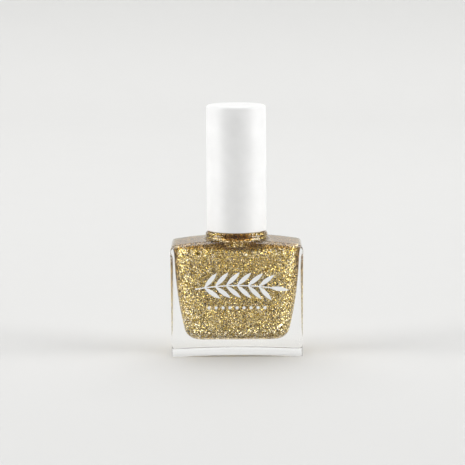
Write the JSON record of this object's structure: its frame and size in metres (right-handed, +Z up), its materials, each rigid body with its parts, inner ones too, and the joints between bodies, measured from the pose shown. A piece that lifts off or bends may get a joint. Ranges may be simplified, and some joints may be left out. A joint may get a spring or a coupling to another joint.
{
  "type": "nail polish bottle",
  "caption": "Flat heavy-walled glass bottle of gold glitter nail polish, closed by a tall plain white screw cap that carries the brush.",
  "frame": {"origin": "centre of the base, on the surface the bottle stands on", "axes": "+Z up along the neck and cap, +X across the width, front face with the print towards -Y"},
  "size_m": [0.0342, 0.0186, 0.0645],
  "materials": {
    "clear_glass": "polished, clear",
    "glitter_polish": "gold glitter in a clear brown liquid",
    "ball_steel": "polished",
    "white_enamel": "screen-printed enamel",
    "seal_foam": "closed-cell foam",
    "stem_plastic": "moulded",
    "nylon_bristles": "fine filaments",
    "anchor_metal": "bright wire",
    "closure_plastic": "moulded",
    "cap_white": "satin"
  },
  "bodies": {
    "bottle": {"glass_bottle": "clear_glass", "polish": "glitter_polish", "printed_motif": "white_enamel"},
    "seal": {"seal_ring": "seal_foam"},
    "brush": {"brush_stem": "stem_plastic", "bristle_tuft": "nylon_bristles", "bristle_anchor": "anchor_metal"},
    "cap": {"inner_cap": "closure_plastic", "overcap": "cap_white"},
    "left_ball": {"mixing_ball_left": "ball_steel"},
    "right_ball": {"mixing_ball_right": "ball_steel"}
  },
  "joints": [
    {"name": "brush_lift", "type": "slide", "parent": "bottle", "child": "seal", "axis": [0, 0, 1], "range_m": [0, 0.05]},
    {"name": "thread_rise", "type": "slide", "parent": "seal", "child": "brush", "axis": [0, 0, 1], "range_m": [0, 0.00318]},
    {"name": "cap_unscrew", "type": "hinge", "parent": "brush", "child": "cap", "pos_m": [0, 0, 0.0447], "axis": [0, 0, 1], "range_deg": [0, 540]},
    {"name": "ball_left_rattle", "type": "slide", "parent": "bottle", "child": "left_ball", "axis": [0, 0, 1], "range_m": [0, 0.017]},
    {"name": "ball_right_rattle", "type": "slide", "parent": "bottle", "child": "right_ball", "axis": [0, 0, 1], "range_m": [0, 0.017]}
  ],
  "couplings": [
    {"joint": "thread_rise", "follows": "cap_unscrew", "m_per_rad": 0.00033693}
  ]
}
